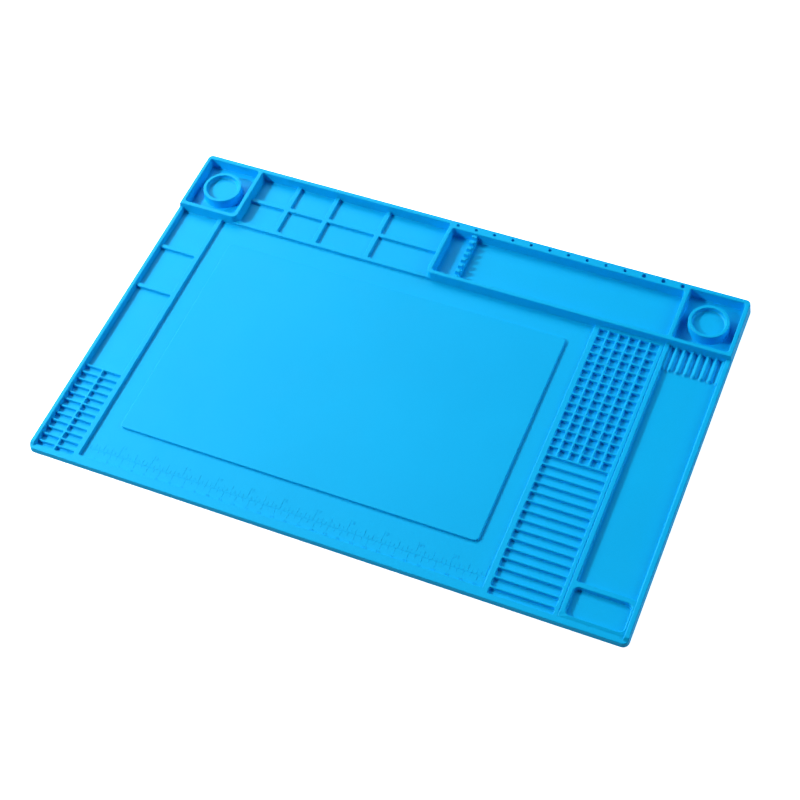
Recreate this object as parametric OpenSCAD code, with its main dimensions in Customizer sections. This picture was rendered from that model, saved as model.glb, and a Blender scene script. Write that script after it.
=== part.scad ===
// Silicone repair mat with moulded parts trays, racks and cups.
// The mat is one moulding, and each node is one moulded region of it, from the sheet up.
// Every region meets its neighbours face to face. Lengths are in millimetres and +Z is up.
// The layout is worked out from the mat's front left corner, and the finished part has its
// origin at the centre of its underside.

/* [Mat] */
// Width of the mat, left to right
mat_w = 450; // [450:0.5:454]
// Depth of the mat, front to back
mat_d = 302; // [302:0.5:304]
// Thickness of the sheet that carries everything
sheet_t = 2; // [1.5:0.1:2.2]
// Radius of the mat's four corners at the underside
mat_corner_r = 5; // [3:0.5:6]
// Lean of the outer faces, sideways per unit of height
lean_out = 0.12; // [0.06:0.01:0.15]
// Lean of the faces inside the trays
lean_in = 0.08; // [0.04:0.01:0.12]

/* [Heights above the underside] */
// Top of the corner boxes, the long tray, the hole bar and the ring cups
high_z = 10.2; // [9:0.1:12]
// Top of the teeth of the notched comb
comb_z = 8.5; // [7:0.1:8.8]
// Bottom of the comb's notches
notch_z = 4.8; // [4:0.1:5.5]
// Top of the rims along the left and right edges
rim_z = 6.4; // [6:0.1:7.5]
// Top of the right tray's wall and of the small tray's frame
tray_z = 5.5; // [5:0.1:5.9]
// Top of the ridges, the rack bars and the front strip
ridge_z = 4.4; // [4:0.1:4.9]
// Top of the raised work panel
panel_z = 3.8; // [3:0.1:3.9]

/* [Corner boxes and ring cups] */
// Front face of the box row, at the top
row_front = 245.7; // [245:0.1:247]
// Right face of the left box, at the top
left_box_right = 50.2; // [48:0.1:51]
// Thickness of the box walls at the top
wall_t = 3.3; // [3:0.1:3.6]
// Thickness of the plain back wall at the top
back_wall_t = 3.6; // [3:0.1:4]
// Outer vertical corner radius of the boxes and the long tray
box_corner_r = 4.5; // [2:0.5:4.5]
// Corner radius inside the boxes and the long tray
pocket_r = 2; // [1:0.25:3]
// Outer radius of a ring cup at the top
cup_r = 15.2; // [13:0.1:15.4]
// Thickness of a ring cup's wall
cup_wall = 2.6; // [2:0.1:4]
// Depth of the recess in a ring cup
cup_depth = 3.6; // [3:0.1:5]
// Distance from the left edge to the left cup's centre
left_cup_x = 26.15; // [25.5:0.05:26.5]
// Distance from the right edge to the right cup's centre
right_cup_inset = 25.3; // [25:0.05:25.6]
// Distance from the front edge to the cups' centres
cup_y = 271.8; // [270:0.1:273]

/* [Compartments] */
// Left edges of the three dividers at the top
divider_x = [80.4, 113.6, 157.6];
// Thickness of the dividers
divider_t = 3.8; // [3:0.1:4]
// Front edge of the ridge between the two rows
middle_ridge_y = 270.7; // [268:0.1:272]
// Thickness of the ridges between and in front of the rows
row_ridge_t = 3.5; // [3:0.1:4]

/* [Long tray and hole bar] */
// Left face of the long tray, at the top
long_tray_left = 211.1; // [210:0.1:212]
// Left face of the wall between the long tray and the right box
shared_wall_left = 400.1; // [399:0.1:400.5]
// Front edge of the hole bar
hole_bar_front = 293.6; // [292:0.1:295]
// Number of tool holes in the bar
holes = 13; // [8:1:13]
// Distance between tool holes
hole_pitch = 14.97; // [14.5:0.01:15]
// Distance from the left edge to the first hole
first_hole_x = 217.57; // [217:0.01:218]
// Diameter of the small tool holes
small_hole_d = 2.5; // [2:0.1:3.4]
// Diameter of the wide tool holes
wide_hole_d = 3.4; // [2.5:0.1:4]
// Number of wide holes at the right end
wide_holes = 3; // [1:1:5]
// Depth of the tool holes
hole_depth = 5; // [3:0.5:7]
// Left face of the notched comb
comb_x = 231; // [225:0.5:240]
// Thickness of the notched comb
comb_t = 4; // [3:0.1:5]
// Distance between the comb's notches
notch_pitch = 6.05; // [6:0.01:6.1]
// Width of a notch at its mouth
notch_w = 3.1; // [2.5:0.1:3.4]
// Number of notches
notches = 7; // [5:1:7]

/* [Left side] */
// Inner face of the side rims, from the mat's edge
rim_inner = 4.2; // [3.8:0.1:4.4]
// Left edge of the ridge beside the left tray
left_ridge_x = 34.5; // [33:0.1:36]
// Thickness of that ridge
left_ridge_t = 4; // [3:0.1:4]
// Front edges of the left tray's two dividers
tray_divider_y = [161.8, 203.1];
// Thickness of those dividers
tray_divider_t = 3.3; // [3:0.1:4]
// Number of bars in the left rack
left_bars = 12; // [6:1:12]
// Distance between the left rack's bars
left_bar_pitch = 6.53; // [6.3:0.01:6.6]
// Centre of the left rack's rearmost bar
left_bar_y = 81.2; // [80.5:0.1:82]
// Centre of the rib between the left rack's two columns
left_rib_x = 19.4; // [18:0.1:21]
// Thickness of the rack bars at the top
bar_t = 1.4; // [1:0.1:2]

/* [Middle] */
// Left and right edges of the raised work panel
panel_x = [54.5, 330.5];
// Front and back edges of the raised work panel
panel_y = [40.3, 225.5];
// Corner radius of the work panel
panel_r = 3.5; // [1:0.5:6]
// Depth of the front strip at the work surface and at the small tray
strip_deep = 7.8; // [7:0.1:8]
// Depth of the front strip at the racks
strip_shallow = 5; // [4.5:0.1:6]
// Length of one inch on the embossed scale
inch = 25.4; // [25.4:0.1:25.4]
// Start of the scale
scale_x = 39.5; // [39:0.1:40]
// Baseline of the scale
scale_y = 17; // [15:0.5:20]
// Height and width of the embossed scale lines
mark = [0.2, 0.4];

/* [Right rack] */
// Left edge of the ridge at the left of the rack
rack_ridge_x = 346.4; // [345:0.1:347]
// Thickness of that ridge
rack_ridge_t = 4.2; // [3:0.1:4.5]
// Right edge of the rack's cells
cells_right = 396.9; // [396:0.1:397.5]
// Number of cell columns
columns = 6; // [4:1:6]
// Distance between the bars that part the columns
column_pitch = 7.93; // [7.5:0.01:7.95]
// Centre of the first of them
first_column_bar = 357.9; // [357:0.1:358]
// Number of cell rows
rows = 15; // [10:1:15]
// Distance between the bars that part the rows
row_pitch = 8; // [7.5:0.01:8]
// Centre of the rearmost of them
first_row_bar = 235.6; // [235:0.1:236]
// Number of long slots in front of the cells
slots = 15; // [10:1:15]
// Distance between the bars that part the slots
slot_pitch = 8.06; // [7.8:0.01:8.06]
// Front edge of the bar behind the cells
rack_back_y = 242.5; // [242:0.1:243]

/* [Right tray] */
// Left and right edges of the wall beside the tray
tray_wall_x = [400, 403.6];
// Front and back edges of the bar behind the small tray
tray_bar_y = [30, 34];
// Right edge of the small tray's well
small_well_right = 444.2; // [443:0.1:444.4]
// Corner radius of the small tray's well
small_well_r = 4; // [2:0.5:6]
// Thickness of the small tray's lining
lining_t = 0.6; // [0.5:0.1:1]
// Number of whole ribs in the rib comb
ribs = 6; // [4:1:6]
// Distance between the ribs
rib_pitch = 5.95; // [5.8:0.01:5.95]
// Centre of the first rib
first_rib_x = 409.5; // [409:0.1:409.6]
// Width of a rib
rib_w = 2.5; // [2:0.1:3]
// Front end of the ribs
rib_front = 223.5; // [210:0.5:235]

/* [Hidden] */
silicone = [0.10, 0.64, 0.93];
$fn = 48;
// Overshoot of cutting shapes
over = 1;
// The walls at the ends of a box reach this far past its inner faces
foot = 1.6;
row_wall_in = row_front + wall_t;
front_ridge_y = row_front - 0.8;
right_in = mat_w - rim_inner - 0.3;
back_in = mat_d - lean_out * high_z - back_wall_t;
last_row_bar = first_row_bar - row_pitch * (rows - 1);
right_cup_x = mat_w - right_cup_inset;
// Where the wall between the long tray and the right box grows out of the hole bar
bar_root_y = hole_bar_front - pocket_r - 0.6;

// How far a face that is measured at its top has leant out at height z
function face_lean(top, z, lean) = lean * (top - z);

// Where a piece of height top meets the row of high walls behind it
function row_face(top) = row_front - face_lean(high_z, top, lean_out);

// Solid between two heights whose top spans x and y, with faces that lean outwards towards
// the bottom; lean gives the left, right, front and back faces
module leaning_box(x, y, z, lean) {
    h = z[1] - z[0];
    intersection() {
        translate([0, y[1] + lean[3] * h + over, z[0]]) rotate([90, 0, 0])
            linear_extrude(y[1] - y[0] + (lean[2] + lean[3]) * h + 2 * over)
                polygon([[x[0] - lean[0] * h, 0], [x[1] + lean[1] * h, 0], [x[1], h], [x[0], h]]);
        translate([x[0] - lean[0] * h - over, 0, z[0]]) rotate([90, 0, 90])
            linear_extrude(x[1] - x[0] + (lean[0] + lean[1]) * h + 2 * over)
                polygon([[y[0] - lean[2] * h, 0], [y[1] + lean[3] * h, 0], [y[1], h], [y[0], h]]);
    }
}

// Bar along X on the sheet, whose ends lean with the walls that they meet
module bar_x(x, y, top = ridge_z, end = -lean_in) {
    leaning_box(x, y, [sheet_t, top], [end, end, lean_in, lean_in]);
}

// Bar along Y on the sheet; front and back are the leans of its ends
module bar_y(x, y, top = ridge_z, front = -lean_in, back = -lean_in) {
    leaning_box(x, y, [sheet_t, top], [lean_in, lean_in, front, back]);
}

// Block with leaning faces and conical corners; x, y and r are measured at the top
module rounded_block(x, y, z, r, lean) {
    h = z[1] - z[0];
    leaning_box([x[0] + r, x[1] - r], y, z, [0, 0, lean, lean]);
    leaning_box(x, [y[0] + r, y[1] - r], z, [lean, lean, 0, 0]);
    for (cx = [x[0] + r, x[1] - r], cy = [y[0] + r, y[1] - r])
        translate([cx, cy, z[0]]) cylinder(h = h, r1 = r + lean * h, r2 = r);
}

// Outer form of the whole mat up to a height
module envelope(top) {
    d = lean_out * top;
    rounded_block([d, mat_w - d], [d, mat_d - d], [0, top], mat_corner_r - d, lean_out);
}

// Well that opens upwards; x, y and r are measured at the height top
module well(x, y, top, r) {
    g = lean_in * over;
    rounded_block([x[0] - g, x[1] + g], [y[0] - g, y[1] + g], [sheet_t, top + over], r + g, -lean_in);
}

// Cutting box from the sheet up
module region(x, y) {
    translate([x[0], y[0], sheet_t]) cube([x[1] - x[0], y[1] - y[0], high_z]);
}

// Shapes of the high walls, cut into their straight walls by the nodes below
module left_box_shape() intersection() {
    envelope(high_z);
    difference() {
        rounded_block([-2 * mat_corner_r, left_box_right], [row_front, mat_d + 2 * mat_corner_r],
            [sheet_t, high_z], box_corner_r, lean_out);
        well([rim_inner, left_box_right - wall_t], [row_wall_in, back_in], high_z, pocket_r);
    }
}

module high_right_shape() intersection() {
    envelope(high_z);
    difference() {
        rounded_block([long_tray_left, mat_w + 2 * mat_corner_r],
            [row_front, mat_d + 2 * mat_corner_r], [sheet_t, high_z], box_corner_r, lean_out);
        well([long_tray_left + wall_t, shared_wall_left], [row_wall_in, hole_bar_front],
            high_z, pocket_r);
        well([shared_wall_left + wall_t, right_in], [row_wall_in, back_in], high_z, pocket_r);
    }
}

// Straight walls along the front and the back of the row
module front_wall(x) color(silicone)
    leaning_box(x, [row_front, row_wall_in], [sheet_t, high_z], [0, 0, lean_out, lean_in]);

module rear_wall(x, front_face) color(silicone)
    leaning_box(x, [front_face, mat_d - lean_out * high_z], [sheet_t, high_z],
        [0, 0, lean_in, lean_out]);

module ring_cup(x) {
    h = high_z - sheet_t;
    color(silicone) difference() {
        translate([x, cup_y, sheet_t]) cylinder(h = h, r1 = cup_r + 0.3, r2 = cup_r);
        translate([x, cup_y, high_z - cup_depth]) cylinder(h = cup_depth + over, r = cup_r - cup_wall);
    }
}

// Everything below is placed with the origin at the centre of the underside
module placed() translate([-mat_w / 2, -mat_d / 2, 0]) children();

// Sheet and middle

module base_sheet() color(silicone) envelope(sheet_t);

module work_panel() color(silicone)
    rounded_block(panel_x, panel_y, [sheet_t, panel_z], panel_r, lean_in);

module ruler_scale() color(silicone) {
    translate([scale_x, scale_y - mark[1] / 2, sheet_t]) cube([12 * inch + mark[1], mark[1], mark[0]]);
    // Inch side: halves, quarters and eighths stand behind the baseline
    for (i = [0 : 12 * 8]) {
        length = i % 8 == 0 ? 9.5 : i % 4 == 0 ? 6.5 : i % 2 == 0 ? 4.5 : 3;
        translate([scale_x + i * inch / 8, scale_y + mark[1] / 2, sheet_t])
            cube([mark[1], length, mark[0]]);
    }
    // Centimetre side: halves stand in front of it
    for (i = [0 : 60]) {
        length = i % 2 == 0 ? 5 : 3;
        translate([scale_x + i * 5, scale_y - mark[1] / 2 - length, sheet_t])
            cube([mark[1], length, mark[0]]);
    }
}

module front_strip() color(silicone) intersection() {
    envelope(ridge_z);
    translate([0, 0, sheet_t]) linear_extrude(ridge_z - sheet_t) polygon([
        [0, 0], [mat_w, 0], [mat_w, strip_shallow], [right_in, strip_shallow],
        [right_in, strip_deep], [tray_wall_x[1], strip_deep], [tray_wall_x[1], strip_shallow],
        [rack_ridge_x, strip_shallow], [rack_ridge_x, strip_deep],
        [left_ridge_x + left_ridge_t, strip_deep], [left_ridge_x + left_ridge_t, strip_shallow],
        [0, strip_shallow]]);
}

// Left side

module left_rim() color(silicone)
    leaning_box([lean_out * rim_z, rim_inner], [strip_shallow, row_face(rim_z)], [sheet_t, rim_z],
        [lean_out, lean_in, 0, -lean_out]);

module left_inner_ridge() color(silicone)
    bar_y([left_ridge_x, left_ridge_x + left_ridge_t], [strip_shallow, row_face(ridge_z)],
        front = 0, back = -lean_out);

module left_tray_bar(y) color(silicone)
    bar_x([rim_inner + face_lean(rim_z, ridge_z, lean_in), left_ridge_x], y);

module left_tray_front_divider() left_tray_bar([tray_divider_y[0], tray_divider_y[0] + tray_divider_t]);

module left_tray_rear_divider() left_tray_bar([tray_divider_y[1], tray_divider_y[1] + tray_divider_t]);

module left_rack_bars()
    for (i = [0 : left_bars - 1]) {
        y = left_bar_y - left_bar_pitch * i;
        left_tray_bar([y - bar_t / 2, y + bar_t / 2]);
    }

module left_rack_rib() color(silicone)
    for (i = [0 : left_bars - 1]) {
        last = i == left_bars - 1;
        front_y = last ? strip_shallow : left_bar_y - left_bar_pitch * (i + 1) + bar_t / 2;
        bar_y([left_rib_x - bar_t / 2, left_rib_x + bar_t / 2],
            [front_y, left_bar_y - left_bar_pitch * i - bar_t / 2], front = last ? 0 : -lean_in);
    }

// Left box, its cup and the compartments

module left_box_left_wall() color(silicone) intersection() {
    left_box_shape();
    region([0, rim_inner + foot], [row_front - over, mat_d]);
}

module left_box_right_wall() color(silicone) intersection() {
    left_box_shape();
    region([left_box_right - wall_t - foot, left_box_right + 2 * over], [row_front - over, mat_d]);
}

module left_box_front_wall() front_wall([rim_inner + foot, left_box_right - wall_t - foot]);

module left_box_back_wall() rear_wall([rim_inner + foot, left_box_right - wall_t - foot], back_in);

module left_ring_cup() ring_cup(left_cup_x);

module back_wall() color(silicone)
    leaning_box([left_box_right, long_tray_left], [back_in, mat_d - lean_out * high_z],
        [sheet_t, high_z], [-lean_out, -lean_out, lean_in, lean_out]);

module compartment_front_ridge() color(silicone) difference() {
    leaning_box([left_box_right, long_tray_left], [front_ridge_y, front_ridge_y + row_ridge_t],
        [sheet_t, ridge_z], [0, 0, lean_in, lean_in]);
    left_box_shape();
    high_right_shape();
}

module compartment_divider(i) color(silicone)
    bar_y([divider_x[i], divider_x[i] + divider_t],
        [front_ridge_y + row_ridge_t, back_in - face_lean(high_z, ridge_z, lean_in)]);

module compartment_divider_1() compartment_divider(0);

module compartment_divider_2() compartment_divider(1);

module compartment_divider_3() compartment_divider(2);

module compartment_middle_ridge() color(silicone) {
    box_lean = face_lean(high_z, ridge_z, lean_out);
    starts = [left_box_right + box_lean, for (x = divider_x) x + divider_t];
    ends = [for (x = divider_x) x, long_tray_left - box_lean];
    last = len(divider_x);
    for (i = [0 : last])
        leaning_box([starts[i], ends[i]], [middle_ridge_y, middle_ridge_y + row_ridge_t],
            [sheet_t, ridge_z],
            [i == 0 ? -lean_out : -lean_in, i == last ? -lean_out : -lean_in, lean_in, lean_in]);
}

// Long tray, hole bar and comb

module long_tray_left_wall() color(silicone) intersection() {
    high_right_shape();
    region([long_tray_left - 2 * over, long_tray_left + wall_t + foot], [row_front - over, mat_d]);
}

module long_tray_front_wall() front_wall([long_tray_left + wall_t + foot, shared_wall_left - foot]);

module hole_bar() color(silicone) difference() {
    intersection() {
        high_right_shape();
        region([long_tray_left + wall_t + foot, shared_wall_left + wall_t + foot],
            [bar_root_y, mat_d]);
    }
    for (i = [0 : holes - 1])
        translate([first_hole_x + hole_pitch * i, (hole_bar_front + mat_d - lean_out * high_z) / 2,
            high_z - hole_depth])
            cylinder(h = hole_depth + over, d = i < holes - wide_holes ? small_hole_d : wide_hole_d);
}

module tray_box_wall() color(silicone) intersection() {
    high_right_shape();
    region([shared_wall_left - foot, shared_wall_left + wall_t + foot],
        [row_front - over, bar_root_y]);
}

module notched_comb() color(silicone) difference() {
    bar_y([comb_x, comb_x + comb_t], [row_wall_in + face_lean(high_z, comb_z, lean_in),
        hole_bar_front - face_lean(high_z, comb_z, lean_in)], comb_z);
    // Notches with round bottoms
    for (i = [0 : notches - 1]) {
        y = (row_wall_in + hole_bar_front) / 2 + notch_pitch * (i - (notches - 1) / 2);
        translate([comb_x - 2 * over, y, notch_z + notch_w / 2]) {
            rotate([0, 90, 0]) cylinder(h = comb_t + 4 * over, d = notch_w);
            translate([0, -notch_w / 2, 0]) cube([comb_t + 4 * over, notch_w, comb_z]);
        }
    }
}

// Right box and its cup

module right_box_front_wall() front_wall([shared_wall_left + wall_t + foot, right_in - foot]);

module right_box_back_wall() rear_wall([shared_wall_left + wall_t + foot, right_in - foot], back_in);

module right_box_right_wall() color(silicone) intersection() {
    high_right_shape();
    region([right_in - foot, mat_w], [row_front - over, mat_d]);
}

module right_ring_cup() ring_cup(right_cup_x);

// Right rack

module rack_left_ridge() color(silicone)
    bar_y([rack_ridge_x, rack_ridge_x + rack_ridge_t], [strip_shallow, row_face(ridge_z)],
        front = 0, back = -lean_out);

module rack_right_ridge() color(silicone)
    leaning_box([cells_right, tray_wall_x[0]], [strip_shallow, row_face(ridge_z)],
        [sheet_t, ridge_z], [lean_in, 0, 0, -lean_out]);

module rack_back_bar() color(silicone)
    leaning_box([rack_ridge_x + rack_ridge_t, cells_right], [rack_back_y, row_face(ridge_z)],
        [sheet_t, ridge_z], [-lean_in, -lean_in, lean_in, -lean_out]);

// Bar across the rack, from ridge to ridge
module rack_bar(y) color(silicone)
    bar_x([rack_ridge_x + rack_ridge_t, cells_right], [y - bar_t / 2, y + bar_t / 2]);

module cell_row_bars()
    for (i = [0 : rows - 1]) rack_bar(first_row_bar - row_pitch * i);

module cell_column_bars() color(silicone)
    for (i = [0 : columns - 2], j = [0 : rows - 1]) {
        x = first_column_bar + column_pitch * i;
        front_bar = first_row_bar - row_pitch * j;
        back_y = j == 0 ? rack_back_y : front_bar + row_pitch - bar_t / 2;
        bar_y([x - bar_t / 2, x + bar_t / 2], [front_bar + bar_t / 2, back_y]);
    }

module slot_bars()
    for (i = [1 : slots - 1]) rack_bar(last_row_bar - slot_pitch * i);

// Right tray

module right_tray_wall() color(silicone)
    leaning_box(tray_wall_x, [strip_shallow, row_face(tray_z)], [sheet_t, tray_z],
        [0, lean_in, 0, -lean_out]);

module right_rim() color(silicone)
    leaning_box([right_in, mat_w - lean_out * rim_z], [strip_shallow, row_face(rim_z)],
        [sheet_t, rim_z], [lean_in, lean_out, 0, -lean_out]);

module tray_bar() color(silicone)
    bar_x([tray_wall_x[1], right_in - face_lean(rim_z, tray_z, lean_in)], tray_bar_y, tray_z);

// Lining of the small tray, with a round-cornered well
module small_tray_frame() color(silicone) difference() {
    leaning_box([tray_wall_x[1], right_in - face_lean(rim_z, tray_z, lean_in)],
        [strip_deep, tray_bar_y[0]], [sheet_t, tray_z], [-lean_in, -lean_in, 0, -lean_in]);
    translate([0, 0, sheet_t - over]) linear_extrude(tray_z) {
        x = [tray_wall_x[1] + lining_t, small_well_right];
        y = [strip_deep + lining_t, tray_bar_y[0] - lining_t];
        r = small_well_r;
        translate([x[0] + r, y[0]]) square([x[1] - x[0] - 2 * r, y[1] - y[0]]);
        translate([x[0], y[0] + r]) square([x[1] - x[0], y[1] - y[0] - 2 * r]);
        for (cx = [x[0] + r, x[1] - r], cy = [y[0] + r, y[1] - r]) translate([cx, cy]) circle(r);
    }
}

// Upright profile of a rib with a round top
module rib_profile() {
    shoulder = ridge_z - sheet_t - rib_w / 2;
    translate([-rib_w / 2, 0]) square([rib_w, shoulder]);
    translate([0, shoulder]) circle(d = rib_w);
}

module rib(x) {
    back = row_front - face_lean(high_z, sheet_t, lean_out);
    translate([x, back, sheet_t]) rotate([90, 0, 0]) linear_extrude(back - rib_front) children();
}

module rib_comb() color(silicone) {
    for (i = [0 : ribs - 1]) rib(first_rib_x + rib_pitch * i) rib_profile();
    // Half ribs against the walls on both sides
    rib(tray_wall_x[1] + face_lean(tray_z, sheet_t, lean_in)) intersection() {
        rib_profile();
        square(high_z);
    }
    rib(right_in - face_lean(rim_z, sheet_t, lean_in)) intersection() {
        rib_profile();
        translate([-high_z, 0]) square(high_z);
    }
}

placed() base_sheet();
placed() work_panel();
placed() ruler_scale();
placed() front_strip();
placed() left_rim();
placed() left_inner_ridge();
placed() left_tray_front_divider();
placed() left_tray_rear_divider();
placed() left_rack_bars();
placed() left_rack_rib();
placed() left_box_left_wall();
placed() left_box_front_wall();
placed() left_box_right_wall();
placed() left_box_back_wall();
placed() left_ring_cup();
placed() back_wall();
placed() compartment_divider_1();
placed() compartment_divider_2();
placed() compartment_divider_3();
placed() compartment_middle_ridge();
placed() compartment_front_ridge();
placed() long_tray_left_wall();
placed() long_tray_front_wall();
placed() hole_bar();
placed() tray_box_wall();
placed() notched_comb();
placed() right_box_front_wall();
placed() right_box_right_wall();
placed() right_box_back_wall();
placed() right_ring_cup();
placed() rack_left_ridge();
placed() rack_back_bar();
placed() rack_right_ridge();
placed() cell_row_bars();
placed() cell_column_bars();
placed() slot_bars();
placed() right_tray_wall();
placed() right_rim();
placed() tray_bar();
placed() small_tray_frame();
placed() rib_comb();
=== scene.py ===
"""Looks of the silicone repair mat: one blue moulding, modelled region by region on the CAD frame.

Lengths in the mesh code are millimetres from the mat's front left corner at its underside.
"""

import math

import bmesh
import bpy
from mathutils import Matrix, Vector
from mathutils.geometry import delaunay_2d_cdt


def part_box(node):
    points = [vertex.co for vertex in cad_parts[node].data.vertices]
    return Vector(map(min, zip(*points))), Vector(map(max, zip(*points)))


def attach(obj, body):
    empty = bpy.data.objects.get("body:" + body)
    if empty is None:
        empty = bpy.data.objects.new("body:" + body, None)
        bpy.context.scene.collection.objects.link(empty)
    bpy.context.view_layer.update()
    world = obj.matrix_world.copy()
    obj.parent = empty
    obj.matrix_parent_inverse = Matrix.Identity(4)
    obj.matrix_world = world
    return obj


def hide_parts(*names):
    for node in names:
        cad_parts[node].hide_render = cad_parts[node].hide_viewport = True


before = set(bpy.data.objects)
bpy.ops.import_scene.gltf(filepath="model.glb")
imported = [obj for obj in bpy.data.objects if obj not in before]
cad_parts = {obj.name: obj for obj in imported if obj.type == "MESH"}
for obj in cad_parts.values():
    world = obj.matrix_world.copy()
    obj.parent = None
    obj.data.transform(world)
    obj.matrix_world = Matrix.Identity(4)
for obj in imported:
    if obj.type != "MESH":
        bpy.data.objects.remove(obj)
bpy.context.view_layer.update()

MM = 0.001
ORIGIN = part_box("base_sheet")[0]
LEAN_OUT = 0.12  # outward faces, sideways per unit of height
LEAN_IN = 0.08  # faces inside the trays
EDGE_R = 0.5  # rounding of the ridges' top edges
WALL_EDGE_R = 0.7  # rounding of the high walls' and the right tray's top edges
RIM_EDGE_R = 0.8  # rounding of the side rims' top edges
FOOT_R = 0.45  # fillet where a face meets the sheet
HIDDEN = 0.4  # how far a fillet's skirt runs on under the sheet's surface
SINK = 0.1  # how deep the regions start below the sheet's surface
TOUCH = 1e-6  # heights closer than this count as the same
SHARP_ANGLE = 38  # edges sharper than this many degrees stay sharp in the shading

# Corner radii, seen from above
CORNER_R = 5.0  # the mat's corners at the underside
BOX_R = 4.5  # outer corners of the boxes and the long tray
WELL_R = 4  # the small tray
PANEL_R = 3.5  # the work panel
POCKET_R = 2  # inside the boxes and the long tray
SLOT_R = 1.3  # the right rack's slots
REAR_R = 1  # where the low back wall meets the box and the long tray
CELL_R = 0.8  # cells, compartments and the left side's pockets
STRIP_R = 0.3  # where the ridges meet the front strip


def box(node):
    """Lowest and highest corner of a CAD node, in mat millimetres."""
    lo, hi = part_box(node)
    return [(a - o) / MM for a, o in zip(lo, ORIGIN)], [
        (a - o) / MM for a, o in zip(hi, ORIGIN)
    ]


def span(node, axis, leans=(LEAN_IN, LEAN_IN)):
    """Low and high face of a CAD node at its own top, from its box and its faces' leans."""
    lo, hi = box(node)
    h = hi[2] - lo[2]
    return lo[axis] + leans[0] * h, hi[axis] - leans[1] * h


# Driving dimensions, from the frame
_, (WIDTH, DEPTH, SHEET) = box("base_sheet")
HIGH = box("hole_bar")[1][2]
COMB = box("notched_comb")[1][2]
RIM = box("left_rim")[1][2]
TRAY = box("right_tray_wall")[1][2]
RIDGE = box("front_strip")[1][2]
PANEL = box("work_panel")[1][2]
BASE = SHEET - SINK
LEFT_IN = span("left_rim", 0)[1]
RIGHT_IN = span("right_rim", 0)[0]
ROW_FRONT, ROW_IN = span("left_box_front_wall", 1, (LEAN_OUT, LEAN_IN))
BACK_IN = span("back_wall", 1)[0]
STRIP_DEEP = box("front_strip")[1][1]
STRIP = box("right_tray_wall")[0][1]


# ---------------------------------------------------------------- outlines and plateaus


class Kind:
    """How an edge of an outline stands: its lean, and whether it has a fillet and a round top."""

    def __init__(self, lean, foot, round_top):
        self.lean, self.foot, self.round_top = lean, foot, round_top


OUT = Kind(LEAN_OUT, False, True)  # the mat's skirt
BOX = Kind(LEAN_OUT, True, True)  # outward face that stands on the sheet
IN = Kind(LEAN_IN, True, True)  # face inside a tray
CUT = Kind(0, False, False)  # hidden face against a neighbour
ALONG = Kind(-LEAN_OUT, False, False)  # hidden end along a leaning neighbour


def levels(top, edge_r, foot_r, foot_steps=4, edge_steps=5):
    """Rings of a plateau from the bottom up, as (height, fillet share, rounding share)."""
    rings = [(BASE, foot_r + HIDDEN, 0), (SHEET - SINK / 10, foot_r + HIDDEN, 0)]
    for i in range(foot_steps + 1):
        a = math.pi / 2 * i / foot_steps
        rings.append((SHEET + foot_r * (1 - math.cos(a)), foot_r * (1 - math.sin(a)), 0))
    for i in range(edge_steps + 1):
        a = math.pi / 2 * i / edge_steps
        rings.append((top - edge_r * (1 - math.sin(a)), 0, edge_r * (1 - math.cos(a))))
    return rings


def corner_steps(r):
    """Number of edges that a corner of radius r is drawn with."""
    return 10 if r >= 3 else 6 if r >= 1 else 4 if r > 0 else 0


def skin(bm, stack):
    """Faces between the neighbouring rings of a stack."""
    for low, high in zip(stack, stack[1:]):
        n = len(low)
        for i in range(n):
            j = (i + 1) % n
            bm.faces.new((low[i], low[j], high[j], high[i]))


def circle(bm, x, y, r, z, steps, way=1):
    """Level ring of vertices; it runs clockwise where way is -1."""
    angles = [way * 2 * math.pi * k / steps for k in range(steps)]
    return [bm.verts.new((x + r * math.cos(a), y + r * math.sin(a), z)) for a in angles]


def arc(cx, cz, r, a0, a1, steps):
    """Points of an arc, angles in degrees."""
    angles = [math.radians(a0 + (a1 - a0) * k / steps) for k in range(steps + 1)]
    return [(cx + r * math.cos(a), cz + r * math.sin(a)) for a in angles]


def new_object(name, bm, replaces, sharp=SHARP_ANGLE):
    """Turns a bmesh in mat millimetres into a smooth-shaded piece of the object."""
    bmesh.ops.remove_doubles(bm, verts=bm.verts, dist=0.002)
    bmesh.ops.dissolve_degenerate(bm, edges=bm.edges, dist=0.001)
    # Closes what the triangulation of a hidden bottom left open
    bmesh.ops.holes_fill(bm, edges=bm.edges, sides=6)
    for v in bm.verts:
        v.co = v.co * MM + ORIGIN
    for f in bm.faces:
        f.smooth = True
    mesh = bpy.data.meshes.new(name)
    bm.to_mesh(mesh)
    bm.free()
    mesh.set_sharp_from_angle(angle=math.radians(sharp))
    obj = bpy.data.objects.new(name, mesh)
    bpy.context.scene.collection.objects.link(obj)
    normals = obj.modifiers.new("normals", "WEIGHTED_NORMAL")
    normals.keep_sharp = True
    mesh.materials.append(silicone)
    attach(obj, "root")
    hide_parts(*replaces)
    return obj


def rectangle_hole(x, y, r, kinds=(IN, IN, IN, IN)):
    """Clockwise outline of a pocket; kinds are its left, back, right and front faces, and corners
    beside a hidden face stay sharp."""
    left, back, right, front = kinds

    def rr(a, b):
        return 0 if CUT in (a, b) else r

    return [
        (x[0], y[0], rr(front, left), left),
        (x[0], y[1], rr(left, back), back),
        (x[1], y[1], rr(back, right), right),
        (x[1], y[0], rr(right, front), front),
    ]


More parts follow.
